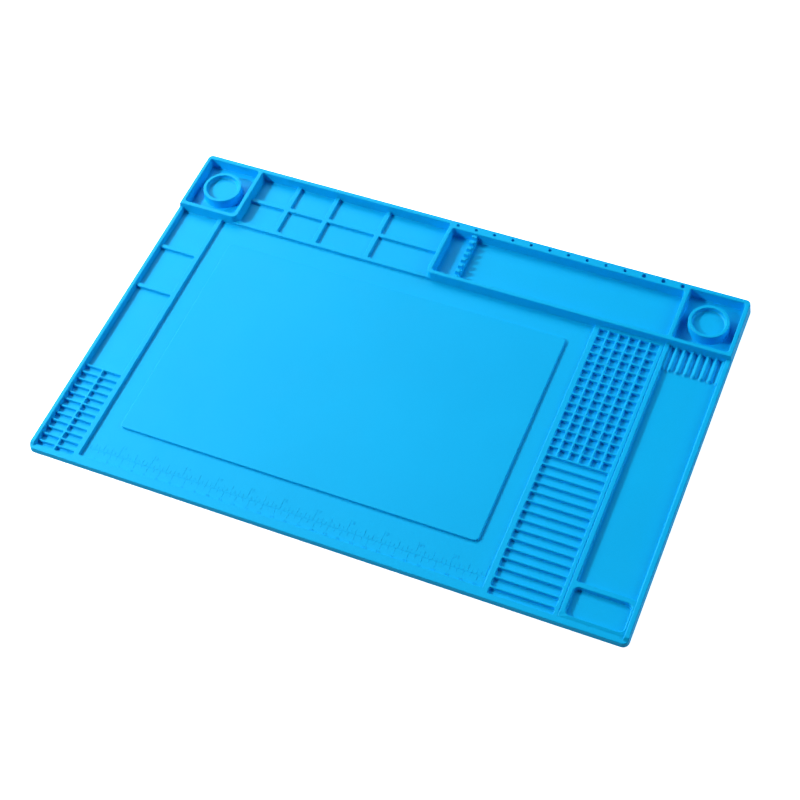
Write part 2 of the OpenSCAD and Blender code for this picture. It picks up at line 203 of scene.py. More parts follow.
def plateau(
    name, replaces, top, outline, pockets=(), edge_r=EDGE_R, foot_r=FOOT_R, height=None, wells=()
):
    """Raised region of the moulding. An outline is a list of corners (x, y, radius, kind of the
    edge that starts there), counter-clockwise. height(x, y), if given, lowers the region's top
    there; wells are round blind holes, each (x, y, radius, floor)."""
    bm = bmesh.new()
    rings = levels(top, edge_r, foot_r)
    built = []
    for loop in [outline, *pockets]:
        n, stack = len(loop), []
        heights = [height(x, y) if height else top for x, y, _, _ in loop]
        for level, foot, rounding in rings:
            near_top = level > top - edge_r - TOUCH

            def z_at(i):
                return level - (top - heights[i]) if near_top else min(level, heights[i] - edge_r)

            def offset(i, kind):
                lean = kind.lean * (top - z_at(i))
                return lean + (foot if kind.foot else 0) - (rounding if kind.round_top else 0)

            # A corner that is drawn with several points has one height
            flat = []
            for i in range(n):
                before, here, after = loop[i - 1], loop[i], loop[(i + 1) % n]
                moved = offset(i, before[3]), offset(i, here[3])
                flat += [(x, y, z_at(i)) for x, y in corner_points(before, here, after, *moved)]
            stack.append([bm.verts.new(p) for p in flat])
        skin(bm, stack)
        built.append(stack)
    mouths = [well_stack(bm, *w, top=top)[0] for w in wells]
    tops, bottoms = [s[-1] for s in built] + mouths, [s[0] for s in built]
    cap(bm, tops, triangles(tops))
    cap(bm, bottoms, [t[::-1] for t in triangles(tops[: len(built)])])
    return new_object(name, bm, replaces)


def corner_points(before, here, after, da, db):
    """Points of a corner whose two edges have moved outwards by da and db."""
    x, y, r, kind = here
    ax, ay, bx, by = x - before[0], y - before[1], after[0] - x, after[1] - y
    la, lb = math.hypot(ax, ay), math.hypot(bx, by)
    ax, ay, bx, by = ax / la, ay / la, bx / lb, by / lb
    cross, dot = ax * by - ay * bx, ax * bx + ay * by
    if abs(cross) < 1e-4:
        # The edges are in line, so a change of kind is a step between two points
        first = (x + ay * da, y - ax * da)
        return [first] if kind is before[3] else [first, (x + by * db, y - bx * db)]
    # Where the two moved edges meet
    s = (da * dot - db) / cross
    mx, my = x + ay * da - ax * s, y - ax * da - ay * s
    steps = corner_steps(r)
    if not steps:
        return [(mx, my)]
    turn = math.atan2(cross, dot)
    side = 1 if turn > 0 else -1
    radius = max(r + side * (da + db) / 2, 0.01)
    t = radius * math.tan(abs(turn) / 2)
    cx, cy = mx - ax * t - ay * radius * side, my - ay * t + ax * radius * side
    start = math.atan2(-ax * side, ay * side)
    angles = [start + turn * k / steps for k in range(steps + 1)]
    return [(cx + radius * math.cos(a), cy + radius * math.sin(a)) for a in angles]


def well_stack(bm, x, y, radius, floor, top, steps=20, mouth=0.3):
    """Blind round hole with a round mouth; returns its rings from the mouth down."""
    turns = (0, 0.5, 1.05, math.pi / 2)
    rings = [
        (radius + mouth * (1 - math.sin(a)), top - mouth * (1 - math.cos(a))) for a in turns
    ]
    # A bevel at the bottom, and the flat floor's middle
    rings += [(radius, floor + 0.4), (radius - 0.25, floor), (radius * 0.4, floor)]
    stack = [circle(bm, x, y, r, z, steps, -1) for r, z in rings]
    for high, low in zip(stack, stack[1:]):
        skin(bm, (low, high))
    bm.faces.new(stack[-1][::-1])
    return stack


def triangles(rings):
    """Triangles that fill the area inside the first ring and outside the others, which are
    convex, as indices into all the rings' vertices."""
    owner = [k for k, ring in enumerate(rings) for _ in ring]
    edges, k = [], 0
    for ring in rings:
        edges += [(k + i, k + (i + 1) % len(ring)) for i in range(len(ring))]
        k += len(ring)
    flat = [Vector((v.co.x, v.co.y)) for ring in rings for v in ring]
    _, _, tris, origins, _, _ = delaunay_2d_cdt(flat, edges, [], 1, 1e-5)
    found = []
    for tri in tris:
        ids = [origins[i][0] for i in tri]
        owners = {owner[i] for i in ids}
        if len(set(ids)) == 3 and (len(owners) > 1 or 0 in owners):
            found.append(ids)
    return found


def cap(bm, rings, tris):
    """Faces over the rings' vertices, from triangles()."""
    verts = [v for ring in rings for v in ring]
    for tri in tris:
        bm.faces.new([verts[i] for i in tri])


# ---------------------------------------------------------------- material

TINT_LOW, TINT_HIGH = (0.0006, 0.44, 0.88), (0.001, 0.46, 0.91)
DUST = (0.45, 0.72, 0.9)


def silicone_material():
    """Matt blue silicone: a faint cloud in its colour, a fine grain and a few specks of dust.
    Scales are per metre."""
    mat = bpy.data.materials.new("blue_silicone")
    mat.use_nodes = True
    nt = mat.node_tree
    n, link = nt.nodes, nt.links.new
    bsdf = n["Principled BSDF"]
    coords = n.new("ShaderNodeTexCoord")

    def noise(scale, detail, rough=0.5):
        t = n.new("ShaderNodeTexNoise")
        t.inputs["Scale"].default_value = scale
        t.inputs["Detail"].default_value = detail
        t.inputs["Roughness"].default_value = rough
        link(coords.outputs["Object"], t.inputs["Vector"])
        return t.outputs["Fac"]

    def ramp(source, stops):
        r = n.new("ShaderNodeValToRGB")
        link(source, r.inputs["Fac"])
        for e, (pos, colour) in zip(r.color_ramp.elements, stops):
            e.position, e.color = pos, (*colour, 1)
        return r.outputs["Color"]

    def calc(operation, source, other):
        """Math node on an output and a number or a second output."""
        m = n.new("ShaderNodeMath")
        m.operation = operation
        link(source, m.inputs[0])
        if isinstance(other, float):
            m.inputs[1].default_value = other
        else:
            link(other, m.inputs[1])
        return m.outputs[0]

    def bump(source, strength, distance):
        b = n.new("ShaderNodeBump")
        b.inputs["Strength"].default_value = strength
        b.inputs["Distance"].default_value = distance
        link(source, b.inputs["Height"])
        return b

    tint = ramp(noise(9, 4), [(0.3, TINT_LOW), (0.7, TINT_HIGH)])
    grain = ramp(noise(2200, 3, 0.6), [(0.25, (0.93,) * 3), (0.75, (1.05,) * 3)])
    mixed = n.new("ShaderNodeMix")
    mixed.data_type, mixed.blend_type = "RGBA", "MULTIPLY"
    mixed.inputs["Factor"].default_value = 0.6
    link(tint, mixed.inputs["A"])
    link(grain, mixed.inputs["B"])

    # Pale dust: the middles of a few Voronoi cells
    cells = n.new("ShaderNodeTexVoronoi")
    cells.inputs["Scale"].default_value = 260
    link(coords.outputs["Object"], cells.inputs["Vector"])
    chosen = calc("GREATER_THAN", cells.outputs["Color"], 0.985)
    middle = calc("LESS_THAN", cells.outputs["Distance"], 0.06)
    specks = calc("MULTIPLY", calc("MULTIPLY", chosen, middle), 0.35)
    dusty = n.new("ShaderNodeMix")
    dusty.data_type = "RGBA"
    link(specks, dusty.inputs["Factor"])
    link(mixed.outputs["Result"], dusty.inputs["A"])
    dusty.inputs["B"].default_value = (*DUST, 1)
    link(dusty.outputs["Result"], bsdf.inputs["Base Color"])

    rough = n.new("ShaderNodeMapRange")
    rough.inputs["To Min"].default_value = 0.42
    rough.inputs["To Max"].default_value = 0.56
    link(noise(40, 5), rough.inputs["Value"])
    link(rough.outputs["Result"], bsdf.inputs["Roughness"])
    bsdf.inputs["Specular IOR Level"].default_value = 0.12

    # Distances in metres: a fine tooth on a slight waviness
    fine, wave = bump(noise(1500, 4, 0.65), 0.12, 0.0002), bump(noise(30, 2), 0.15, 0.001)
    link(wave.outputs["Normal"], fine.inputs["Normal"])
    link(fine.outputs["Normal"], bsdf.inputs["Normal"])
    return mat


silicone = silicone_material()


# ---------------------------------------------------------------- sheet and work panel


def slab():
    """The sheet under everything, with a small round at its bottom edge."""
    corners = [(0, 0), (WIDTH, 0), (WIDTH, DEPTH), (0, DEPTH)]
    loop = [(x, y, CORNER_R, OUT) for x, y in corners]
    # Heights, and how far the edge stands out from the mat's outline there
    rings = [(0.0, -0.3), (0.03, -0.15), (0.12, -0.05 - LEAN_OUT * 0.12), (0.3, -LEAN_OUT * 0.3)]
    rings += [(BASE, -LEAN_OUT * BASE), (BASE + SINK / 2, -0.7), (SHEET, -1.0)]
    bm = bmesh.new()
    stack = []
    for z, d in rings:
        flat = []
        for i in range(4):
            flat += corner_points(loop[i - 1], loop[i], loop[(i + 1) % 4], d, d)
        stack.append([bm.verts.new((x, y, z)) for x, y in flat])
    skin(bm, stack)
    inside = triangles([stack[-1]])
    cap(bm, [stack[-1]], inside)
    cap(bm, [stack[0]], [t[::-1] for t in inside])
    return new_object("sheet", bm, ["base_sheet"])


slab()

px, py = span("work_panel", 0), span("work_panel", 1)
panel_corners = [(px[0], py[0]), (px[1], py[0]), (px[1], py[1]), (px[0], py[1])]
plateau("work_panel_top", ["work_panel"], PANEL, [(*p, PANEL_R, IN) for p in panel_corners])

# ---------------------------------------------------------------- left side

RIB = span("left_rack_rib", 0)
BAR = RIB[1] - RIB[0]
half = BAR / 2
LR = span("left_inner_ridge", 0)
LR_MID = sum(LR) / 2
RACK_JOIN = 120.0  # where the ridge's two pieces meet
FRONT_JOIN = 6.9  # where the strip's stubs of the rib and the ridge's left half meet the rack
RIDGE_JOIN = 9.5  # where its stub of the ridge's right half does
IN_RIM = LEFT_IN - 1.2  # hidden ends inside the left rim
IN_ROW = ROW_FRONT + 0.7  # hidden ends inside the row of high walls


def bar_centres(node, count, axis=1):
    """Centres of evenly spaced bars, low to high, from the box around them."""
    lo, hi = span(node, axis)
    step = (hi - lo - BAR) / (count - 1)
    return [lo + BAR / 2 + step * i for i in range(count)]


bars = bar_centres("left_rack_bars", 12)
pockets = []
for low, high in zip(bars, bars[1:]):
    y = (low + half, high - half)
    # The left pockets run on into the rim, which hides their ends
    pockets.append(rectangle_hole((LEFT_IN - 0.8, RIB[0]), y, CELL_R, (CUT, IN, IN, IN)))
    pockets.append(rectangle_hole((RIB[1], LR[0]), y, CELL_R))
y0, y1 = bars[0] - half, bars[-1] + half
plateau(
    "left_rack",
    ["left_rack_bars", "left_rack_rib", "left_inner_ridge"],
    RIDGE,
    [
        (LR[0], FRONT_JOIN, 0, CUT),
        (LR_MID, FRONT_JOIN, 0, CUT),
        (LR_MID, RIDGE_JOIN, 0, CUT),
        (LR[1], RIDGE_JOIN, 0, IN),
        (LR[1], RACK_JOIN, 0, CUT),
        (LR[0], RACK_JOIN, 0, IN),
        (LR[0], y1, CELL_R, IN),
        (IN_RIM, y1, 0, CUT),
        (IN_RIM, y0, 0, IN),
        (RIB[0], y0, CELL_R, IN),
        (RIB[0], FRONT_JOIN, 0, CUT),
        (RIB[1], FRONT_JOIN, 0, IN),
        (RIB[1], y0, CELL_R, IN),
        (LR[0], y0, CELL_R, IN),
    ],
    pockets,
)

d1, d2 = span("left_tray_front_divider", 1), span("left_tray_rear_divider", 1)
plateau(
    "left_tray_ridges",
    ["left_inner_ridge", "left_tray_front_divider", "left_tray_rear_divider"],
    RIDGE,
    [
        (LR[0], RACK_JOIN, 0, CUT),
        (LR[1], RACK_JOIN, 0, IN),
        (LR[1], IN_ROW, 0, CUT),
        (LR[0], IN_ROW, 0, IN),
        (LR[0], d2[1], CELL_R, IN),
        (IN_RIM, d2[1], 0, CUT),
        (IN_RIM, d2[0], 0, IN),
        (LR[0], d2[0], CELL_R, IN),
        (LR[0], d1[1], CELL_R, IN),
        (IN_RIM, d1[1], 0, CUT),
        (IN_RIM, d1[0], 0, IN),
        (LR[0], d1[0], CELL_R, IN),
    ],
)


def smoothstep(a, b, x):
    t = min(max((x - a) / (b - a), 0), 1)
    return t * t * (3 - 2 * t)


RIM_FRONT, RIM_FULL = 2.3, 5.5  # the rims rise out of the front strip between these
RIM_STEPS = (2.8, 3.3, 3.8, 4.3, 4.8, 5.3, 5.6, 6.5)  # points of that rise
RIM_START = RIDGE - 0.1  # the rims' height where the rise starts
SEAM = 5.05  # the strip's skirt ends and the rims' skirt begins
ARC_POINTS, ARC_START = 8, 0.03  # points of the rims' round front, and its first angle
ARC_CLEAR = 0.04  # the round stays this far inside the strip's own corner


def rim_height(x, y):
    return RIM_START + (RIM - RIM_START) * smoothstep(RIM_FRONT, RIM_FULL, y)


def rim(name, inner, mirror):
    """Rim along one side; built for the left side, and mirrored for the right."""
    inset = LEAN_OUT * RIM
    back = ROW_FRONT - LEAN_OUT * (HIGH - RIM)
    outline = [(inner, RIM_FRONT, 0, IN)]
    outline += [(inner, y, 0, IN) for y in RIM_STEPS]
    outline += [(inner, back, 0, ALONG), (inset, back, 0, OUT)]
    outline += [(inset, SEAM + 0.45, 0, OUT), (inset, SEAM, 0, OUT)]
    radius = CORNER_R - inset - ARC_CLEAR
    steep = math.asin((CORNER_R - RIM_FRONT) / radius)
    for k in range(ARC_POINTS):
        a = ARC_START + (steep - ARC_START) * k / (ARC_POINTS - 1)
        x, y = CORNER_R - radius * math.cos(a), CORNER_R - radius * math.sin(a)
        outline.append((x, y, 0, OUT if k < ARC_POINTS - 1 else CUT))
    if mirror:
        kinds = [p[3] for p in outline]
        flipped = [(WIDTH - x, y, r) for x, y, r, _ in outline][::-1]
        # An edge's kind belongs to its first corner, which the mirror makes its last
        kinds = [kinds[(len(kinds) - 2 - i) % len(kinds)] for i in range(len(kinds))]
        outline = [(*p, k) for p, k in zip(flipped, kinds)]
    plateau(name, [name], RIM, outline, edge_r=RIM_EDGE_R, height=rim_height)


rim("left_rim", LEFT_IN, False)
rim("right_rim", WIDTH - RIGHT_IN, True)

# ---------------------------------------------------------------- left box, compartments, back wall

INSET = LEAN_OUT * HIGH  # the mat's outline at the top of the high walls
HIGH_CORNER_R = CORNER_R - INSET
WALL = ROW_IN - ROW_FRONT
REAR = DEPTH - INSET
left_x = span("left_box_right_wall", 0, (0, LEAN_OUT))[1]
BACK_JOIN = (left_x + 1.8, 209.3)  # both ends of the back wall's piece
plateau(
    "left_box",
    ["left_box_left_wall", "left_box_front_wall", "left_box_right_wall", "left_box_back_wall"],
    HIGH,
    [
        (INSET, ROW_FRONT, 0, OUT),
        (LEFT_IN - 1, ROW_FRONT, 0, BOX),
        (left_x, ROW_FRONT, BOX_R, BOX),
        (left_x, BACK_IN, REAR_R, IN),
        (BACK_JOIN[0], BACK_IN, 0, CUT),
        (BACK_JOIN[0], REAR, 0, OUT),
        (INSET, REAR, HIGH_CORNER_R, OUT),
    ],
    [rectangle_hole((LEFT_IN, left_x - WALL), (ROW_IN, BACK_IN), POCKET_R)],
    edge_r=WALL_EDGE_R,
)
plateau(
    "rear_wall",
    ["back_wall"],
    HIGH,
    [
        (BACK_JOIN[0], BACK_IN, 0, IN),
        (BACK_JOIN[1], BACK_IN, 0, CUT),
        (BACK_JOIN[1], REAR, 0, OUT),
        (BACK_JOIN[0], REAR, 0, CUT),
    ],
    edge_r=WALL_EDGE_R,
)

fr, mr = span("compartment_front_ridge", 1), span("compartment_middle_ridge", 1)
dividers = [f"compartment_divider_{i}" for i in (1, 2, 3)]
div = [span(node, 0) for node in dividers]
tray_x = span("long_tray_left_wall", 0, (LEAN_OUT, 0))[0]
# Hidden ends inside the high walls, of the pockets and of the ridges around them
in_box, in_tray = left_x - 1.4, tray_x + 1.4
hid_box, hid_tray = in_box - 1.6, in_tray + 1.6
hid_back = BACK_IN + 2.1
xs = [(in_box, div[0][0]), (div[0][1], div[1][0]), (div[1][1], div[2][0]), (div[2][1], in_tray)]
pockets = []
for i, x in enumerate(xs):
    left, right = (CUT if i == 0 else IN), (CUT if i == 3 else IN)
    pockets.append(rectangle_hole(x, (mr[1], BACK_IN + 0.9), CELL_R, (left, CUT, right, IN)))
    pockets.append(rectangle_hole(x, (fr[1], mr[0]), CELL_R, (left, IN, right, IN)))
# The front ridge's ends bend back a little as they go under the boxes' round corners
bend, end_x, end_y, end_back = 2.2, 4.9, fr[0] + 0.5, fr[0] + 2.5
plateau(
    "compartment_ridges",
    dividers + ["compartment_front_ridge", "compartment_middle_ridge"],
    RIDGE,
    [
        (left_x - end_x, end_y, 0, IN),
        (left_x - bend, fr[0], 0, IN),
        (tray_x + bend, fr[0], 0, IN),
        (tray_x + end_x, end_y, 0, CUT),
        (tray_x + end_x, end_back, 0, CUT),
        (hid_tray, end_back, 0, CUT),
        (hid_tray, hid_back, 0, CUT),
        (hid_box, hid_back, 0, CUT),
        (hid_box, end_back, 0, CUT),
        (left_x - end_x, end_back, 0, CUT),
    ],
    pockets,
)

# ---------------------------------------------------------------- long tray and right box

FOOT_REACH = 1.6  # the CAD's shared wall reaches this far past its faces
BAR_JOIN = 290.0  # where the hole bar meets the walls at its ends
HOLES, WIDE = 13, 3  # tool holes, and how many of them, at the right, are wide
HOLE_R, WIDE_HOLE_R, HOLE_DEPTH = 1.25, 1.7, 5
HOLE_START, HOLE_PITCH = 6.47, 14.97  # the first hole, from the long tray's left face
shared_lo, shared_hi = box("tray_box_wall")
shared = (shared_lo[0] + FOOT_REACH, shared_hi[0] - FOOT_REACH)
shared_mid = sum(shared) / 2
bar_y = box("notched_comb")[1][1] + LEAN_IN * (HIGH - COMB)
plateau(
    "long_tray",
    ["long_tray_left_wall", "long_tray_front_wall", "tray_box_wall"],
    HIGH,
    [
        (tray_x, ROW_FRONT, BOX_R, BOX),
        (shared_mid, ROW_FRONT, 0, CUT),
        (shared_mid, BAR_JOIN, 0, CUT),
        (shared[0], BAR_JOIN, 0, IN),
        (shared[0], ROW_IN, POCKET_R, IN),
        (tray_x + WALL, ROW_IN, POCKET_R, IN),
        (tray_x + WALL, BAR_JOIN, 0, CUT),
        (tray_x, BAR_JOIN, 0, BOX),
    ],
    edge_r=WALL_EDGE_R,
)
hole_r = [WIDE_HOLE_R if i >= HOLES - WIDE else HOLE_R for i in range(HOLES)]
hole_y = (bar_y + REAR) / 2
plateau(
    "tool_hole_bar",
    ["hole_bar"],
    HIGH,
    [
        (tray_x, BAR_JOIN, 0, CUT),
        (tray_x + WALL, BAR_JOIN, 0, IN),
        (tray_x + WALL, bar_y, POCKET_R, IN),
        (shared[0], bar_y, POCKET_R, IN),
        (shared[0], BAR_JOIN, 0, CUT),
        (shared_mid, BAR_JOIN, 0, CUT),
        (shared_mid, REAR, 0, OUT),
        (BACK_JOIN[1], REAR, 0, CUT),
        (BACK_JOIN[1], BACK_IN, 0, IN),
        (tray_x, BACK_IN, REAR_R, BOX),
    ],
    wells=[
        (tray_x + HOLE_START + HOLE_PITCH * i, hole_y, r, HIGH - HOLE_DEPTH)
        for i, r in enumerate(hole_r)
    ],
    edge_r=WALL_EDGE_R,
)
plateau(
    "right_box",
    ["right_box_front_wall", "right_box_right_wall", "right_box_back_wall", "tray_box_wall"],
    HIGH,
    [
        (shared_mid, ROW_FRONT, 0, BOX),
        (RIGHT_IN + 1, ROW_FRONT, 0, OUT),
        (WIDTH - INSET, ROW_FRONT, 0, OUT),
        (WIDTH - INSET, REAR, HIGH_CORNER_R, OUT),
        (shared_mid, REAR, 0, CUT),
    ],
    [rectangle_hole((shared[1], RIGHT_IN), (ROW_IN, BACK_IN), POCKET_R)],
    edge_r=WALL_EDGE_R,
)


def lathe(name, node, profile, steps=96):
    """Turned piece around the middle of a CAD node's box; profile runs from the outside bottom to
    the middle of the top."""
    lo, hi = box(node)
    cx, cy = (lo[0] + hi[0]) / 2, (lo[1] + hi[1]) / 2
    bm = bmesh.new()
    stack = [circle(bm, cx, cy, r, z, steps) for r, z in profile]
    skin(bm, stack)
    bm.faces.new(stack[-1])
    bm.faces.new(stack[0][::-1])
    return new_object(name, bm, [node])


CUP_WALL, CUP_DEPTH = 2.6, 3.6
CUP_EDGE_R, CUP_FILLET = 0.5, 1.5
CUP_SPREAD = 0.3  # a cup is this much wider in radius at its foot than at its top
for node in ("left_ring_cup", "right_ring_cup"):
    lo, hi = box(node)
    foot = (hi[0] - lo[0]) / 2
    rim_r = foot - CUP_SPREAD
    inner = rim_r - CUP_WALL
    floor_z, edge_z = HIGH - CUP_DEPTH, HIGH - CUP_EDGE_R
    skirt = foot + FOOT_R + HIDDEN
    profile = [(skirt, BASE), (skirt, SHEET - SINK / 10)]
    profile += arc(foot + FOOT_R, SHEET + FOOT_R, FOOT_R, 270, 180, 5)
    profile += arc(rim_r - CUP_EDGE_R, edge_z, CUP_EDGE_R, 0, 90, 6)
    profile += arc(inner + CUP_EDGE_R, edge_z, CUP_EDGE_R, 90, 180, 6)
    profile += arc(inner - CUP_FILLET, floor_z + CUP_FILLET, CUP_FILLET, 0, -90, 8)
    profile += [(inner * 0.5, floor_z), (1.0, floor_z)]
    lathe(f"{node}_body", node, profile)

NOTCHES, NOTCH_PITCH, NOTCH_W = 7, 6.05, 3.1
NOTCH_Z = 4.8  # bottom of the notches
TOOTH_R = 0.7  # round of a tooth's shoulders, seen from the side
TOOTH_EDGE_R = 0.6  # rounding of the comb's edges
COMB_REACH = 0.8  # hidden ends inside the tray's walls


def comb():
    """Comb across the long tray: a thin wall whose top edge is a row of round-bottomed notches."""
    x = span("notched_comb", 0)
    lo, hi = box("notched_comb")
    y_lo, y_hi = lo[1] - COMB_REACH, hi[1] + COMB_REACH
    mid, r = (lo[1] + hi[1]) / 2, NOTCH_W / 2
    # Upright outline in (y, z), counter-clockwise as seen from +X
    outline = [(y_lo, BASE), (y_hi, BASE), (y_hi, COMB)]
    for i in reversed(range(NOTCHES)):
        c = mid + NOTCH_PITCH * (i - (NOTCHES - 1) / 2)
        outline += arc(c + r + TOOTH_R, COMB - TOOTH_R, TOOTH_R, 90, 180, 4)
        outline += arc(c, NOTCH_Z + r, r, 0, -180, 12)
        outline += arc(c - r - TOOTH_R, COMB - TOOTH_R, TOOTH_R, 0, 90, 4)
    outline += [(y_lo, COMB)]
    # Outward directions, longer at a corner so that both its edges move by the same amount
    normals, n = [], len(outline)
    for i in range(n):
        (ay, az), (by, bz), (cy, cz) = outline[i - 1], outline[i], outline[(i + 1) % n]
        e1 = Vector((bz - az, -(by - ay))).normalized()
        e2 = Vector((cz - bz, -(cy - by))).normalized()
        m = e1 + e2
        normals.append(m / max(m.length_squared / 2, 0.4))
    bm = bmesh.new()
    stack = []
    er = TOOTH_EDGE_R
    turns = [math.pi / 2 * k / 5 for k in range(6)]
    sides = [(x[0] + er * (1 - math.cos(a)), er * (1 - math.sin(a)), -1) for a in turns]
    sides += [(x[1] - er * (1 - math.cos(a)), er * (1 - math.sin(a)), 1) for a in turns[::-1]]
    for sx, inset, way in sides:
        ring = []
        for (y, z), m in zip(outline, normals):
            lean = way * LEAN_IN * (COMB - z)
            ring.append(bm.verts.new((sx + lean, y - m[0] * inset, z - m[1] * inset)))
        stack.append(ring)
    skin(bm, stack)
    edges = [(i, (i + 1) % n) for i in range(n)]
    for ring, flip in ((stack[0], True), (stack[-1], False)):
        flat = [Vector((v.co.y, v.co.z)) for v in ring]
        _, _, tris, origins, _, _ = delaunay_2d_cdt(flat, edges, [], 2, 1e-5)
        for tri in tris:
            chosen = [ring[origins[i][0]] for i in tri]
            bm.faces.new(chosen[::-1] if flip else chosen)
    return new_object("comb", bm, ["notched_comb"])


comb()

# ---------------------------------------------------------------- right rack and tray

rack_left = span("rack_left_ridge", 0)
rack_right = span("rack_right_ridge", 0, (LEAN_IN, 0))
rack_back = span("rack_back_bar", 1, (LEAN_IN, 0))[0]
rack_front = RIDGE_JOIN - 1  # where the strip's stubs of the ridges meet the rack
rows = bar_centres("cell_row_bars", 15)
cols = bar_centres("cell_column_bars", 5, 0)
slots = bar_centres("slot_bars", 14)
cell_join = rows[0]
# The ridge stops just short of the higher tray wall, which leaves a fine groove
groove_x = rack_right[1] - 0.25
cell_x = [rack_left[1], *[c + s for c in cols for s in (-half, half)], rack_right[0]]
cell_y = [v for low, high in zip(rows, rows[1:]) for v in (low + half, high - half)]
cell_y += [rows[-1] + half, rack_back]
pockets = [
    rectangle_hole((cell_x[i], cell_x[i + 1]), (cell_y[j], cell_y[j + 1]), CELL_R)
    for i in range(0, len(cell_x), 2)
    for j in range(0, len(cell_y), 2)
]
plateau(
    "right_rack_cells",
    ["cell_row_bars", "cell_column_bars", "rack_back_bar", "rack_left_ridge", "rack_right_ridge"],
    RIDGE,
    [
        (rack_left[0], cell_join, 0, CUT),
        (groove_x, cell_join, 0, IN),
        (groove_x, IN_ROW, 0, CUT),
        (rack_left[0], IN_ROW, 0, IN),
    ],
    pockets,
    foot_r=0.4,
)
edges_y = [(a + half, b - half) for a, b in zip(slots, slots[1:] + [cell_join])]
plateau(
    "right_rack_slots",
    ["slot_bars", "rack_left_ridge", "rack_right_ridge"],
    RIDGE,
    [
        (rack_left[0], rack_front, 0, CUT),
        (rack_left[1], rack_front, 0, IN),
        (rack_left[1], slots[0] - half, SLOT_R, IN),
        (rack_right[0], slots[0] - half, SLOT_R, IN),
        (rack_right[0], rack_front, 0, CUT),
        (groove_x, rack_front, 0, IN),
        (groove_x, cell_join, 0, CUT),
        (rack_left[0], cell_join, 0, IN),
    ],
    [rectangle_hole((rack_left[1], rack_right[0]), y, SLOT_R) for y in edges_y],
)

tray_wall = span("right_tray_wall", 0, (0, LEAN_IN))
tray_bar = span("tray_bar", 1)
well_right = RIGHT_IN - 1.3
in_right = RIGHT_IN + 1.5  # hidden end inside the right rim
TRAY_RISE = (5.5, 6.5, 7.6, 8.6, 9.5)  # points of the wall's rise out of the front strip
TRAY_FULL = 8.4  # where that rise ends


def tray_height(x, y):
    return RIDGE + (TRAY - RIDGE) * smoothstep(TRAY_RISE[0], TRAY_FULL, y)


plateau(
    "right_tray_frame",
    ["right_tray_wall", "tray_bar", "small_tray_frame"],
    TRAY,
    [
        (tray_wall[0], SEAM, 0, CUT),
        (in_right, SEAM, 0, CUT),
        (in_right, tray_bar[1], 0, IN),
        (tray_wall[1], tray_bar[1], CELL_R, IN),
        (tray_wall[1], IN_ROW, 0, CUT),
        (tray_wall[0], IN_ROW, 0, IN),
        *[(tray_wall[0], y, 0, IN) for y in TRAY_RISE[::-1]],
    ],
    [rectangle_hole((tray_wall[1], well_right), (STRIP_DEEP, tray_bar[0]), WELL_R)],
    height=tray_height,
    edge_r=WALL_EDGE_R,
)

RIBS, RIB_W, RIB_PITCH, RIB_R = 6, 2.3, 5.95, 1.2
RIB_START = 5.62  # the first whole rib, from the tray wall's foot
RIB_IN = 1.4  # the half ribs at both ends reach this far into the walls
RIB_SIDE = Kind(0.3, True, True)
lo, hi = box("rib_comb")
centres = [lo[0] + RIB_START + RIB_PITCH * i for i in range(RIBS)]
rib_spans = [
    (lo[0] - RIB_IN, lo[0] + RIB_W / 2),
    *[(c - RIB_W / 2, c + RIB_W / 2) for c in centres],
    (hi[0] - RIB_W / 2, hi[0] + RIB_IN),
]
for i, (a, b) in enumerate(rib_spans):
    first, last = i == 0, i == len(rib_spans) - 1
    plateau(
        f"rib_{i + 1}",
        ["rib_comb"],
        RIDGE,
        [
            (a, lo[1], 0 if first else RIB_R, RIB_SIDE),
            (b, lo[1], 0 if last else RIB_R, CUT if last else RIB_SIDE),
            (b, IN_ROW, 0, CUT),
            (a, IN_ROW, 0, CUT if first else RIB_SIDE),
        ],
        edge_r=1.1,
        foot_r=1.0,
    )

# ---------------------------------------------------------------- front strip

strip_in = LEAN_OUT * RIDGE
strip_r = CORNER_R - strip_in
# Hidden ends under the side rims: how far back they reach, and how far in from the mat's edge
under_y, under_x = 6.5, 1.8
rack_strip = STRIP + 0.1
plateau(
    "front_strip_body",
    ["front_strip"],
    RIDGE,
    [
        (strip_in, strip_in, strip_r, OUT),
        (WIDTH - strip_in, strip_in, strip_r, OUT),
        (WIDTH - strip_in, SEAM, 0, CUT),
        (WIDTH - under_x, under_y, 0, CUT),
        (in_right, under_y, 0, CUT),
        (in_right, SEAM, 0, CUT),
        (tray_wall[0], SEAM, 0, CUT),
        (tray_wall[0], rack_front, 0, CUT),
        (rack_right[0], rack_front, 0, IN),
        (rack_right[0], rack_strip, SLOT_R, IN),
        (rack_left[1], rack_strip, SLOT_R, IN),
        (rack_left[1], rack_front, 0, CUT),
        (rack_left[0], rack_front, 0, IN),
        (rack_left[0], STRIP_DEEP, STRIP_R, IN),
        (LR[1], STRIP_DEEP, STRIP_R, IN),
        (LR[1], RIDGE_JOIN, 0, CUT),
        (LR_MID, RIDGE_JOIN, 0, CUT),
        (LR_MID, FRONT_JOIN, 0, CUT),
        (LR[0], FRONT_JOIN, 0, IN),
        (LR[0], STRIP, CELL_R, IN),
        (RIB[1], STRIP, CELL_R, IN),
        (RIB[1], FRONT_JOIN, 0, CUT),
        (RIB[0], FRONT_JOIN, 0, IN),
        (RIB[0], STRIP, CELL_R, IN),
        (LEFT_IN - 0.6, STRIP, 0, CUT),
        (LEFT_IN - 0.6, under_y, 0, CUT),
        (under_x, under_y, 0, CUT),
        (strip_in, SEAM, 0, OUT),
    ],
)

# ---------------------------------------------------------------- embossed scale

